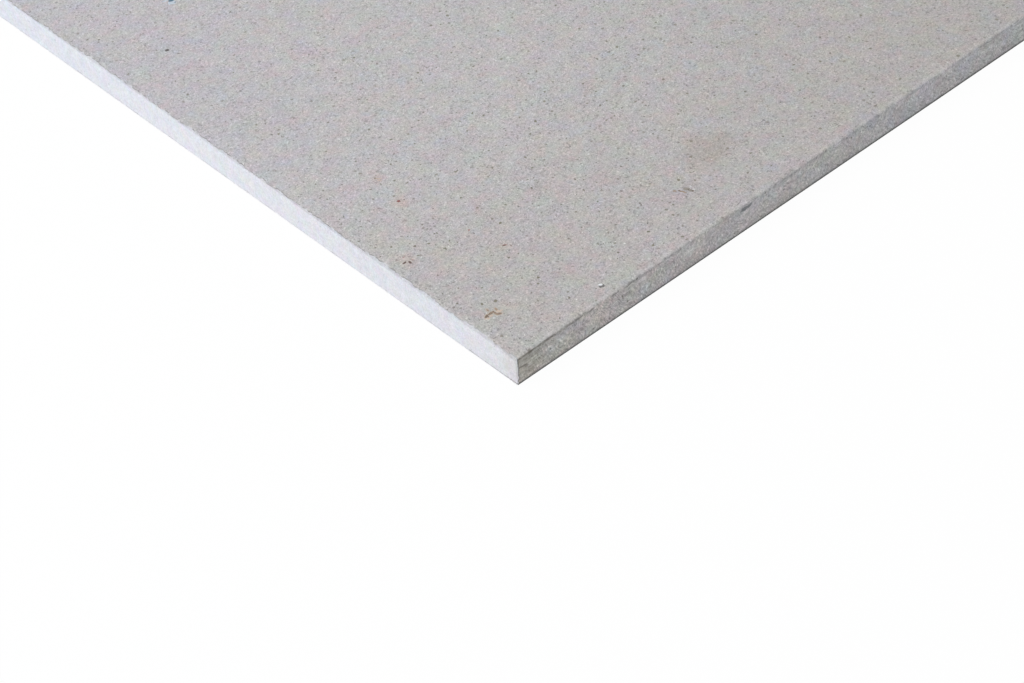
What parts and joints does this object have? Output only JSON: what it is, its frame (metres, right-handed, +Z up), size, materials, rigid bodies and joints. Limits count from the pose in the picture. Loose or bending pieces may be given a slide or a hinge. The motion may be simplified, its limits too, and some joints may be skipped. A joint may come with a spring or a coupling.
{
  "type": "drywall sheet",
  "caption": "Flat rectangular gypsum board with square paper-wrapped long edges and sawn ends, lying face up.",
  "frame": {"origin": "middle of the sheet's underside, on the floor that it lies on", "axes": "+X along the sheet's length and its paper-wrapped long edges, +Y across it, +Z up through its thickness towards the face"},
  "size_m": [2.4, 1.2, 0.0125],
  "materials": {
    "gypsum": "matte",
    "face_paper": "matte",
    "back_paper": "matte"
  },
  "bodies": {
    "root": {"gypsum_core": "gypsum", "face_paper": "face_paper", "back_paper": "back_paper"}
  },
  "joints": []
}
